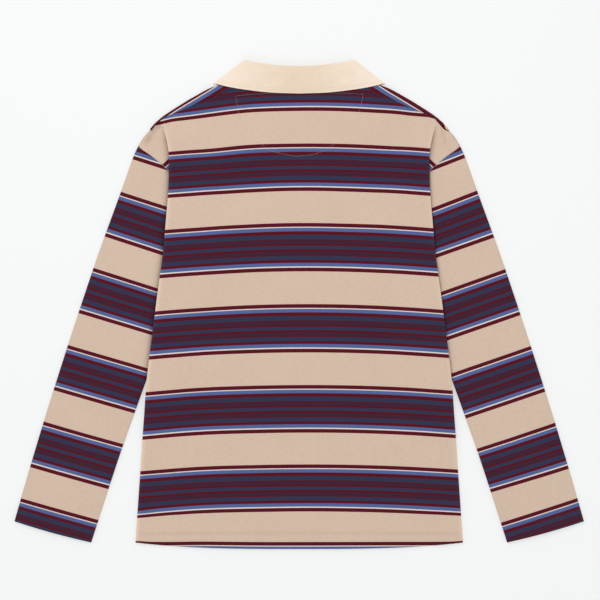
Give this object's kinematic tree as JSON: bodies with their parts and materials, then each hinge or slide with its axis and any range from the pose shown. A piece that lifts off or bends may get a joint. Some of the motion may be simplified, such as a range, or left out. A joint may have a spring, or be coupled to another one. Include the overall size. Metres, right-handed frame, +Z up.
{
  "type": "long-sleeved polo shirt",
  "caption": "Long-sleeved striped jersey polo shirt with a woven collar and a buttoned placket, laid flat on its front with its back up.",
  "frame": {"origin": "middle of the shirt's outline, on the surface that its front lies on", "axes": "+X across the shirt towards its right sleeve as seen from above, +Y from the hem towards the collar, +Z up out of the back"},
  "size_m": [0.8532, 0.7312, 0.013],
  "materials": {
    "jersey": "matte striped knit",
    "twill": "matte woven twill",
    "button": "satin"
  },
  "bodies": {
    "root": {"back": "jersey", "front": "jersey", "sleeve_left": "jersey", "sleeve_right": "jersey", "collar_stand": "twill", "collar_fall": "twill", "placket_top": "twill", "placket_under": "twill", "button_1": "button", "button_2": "button", "button_3": "button"}
  },
  "joints": []
}
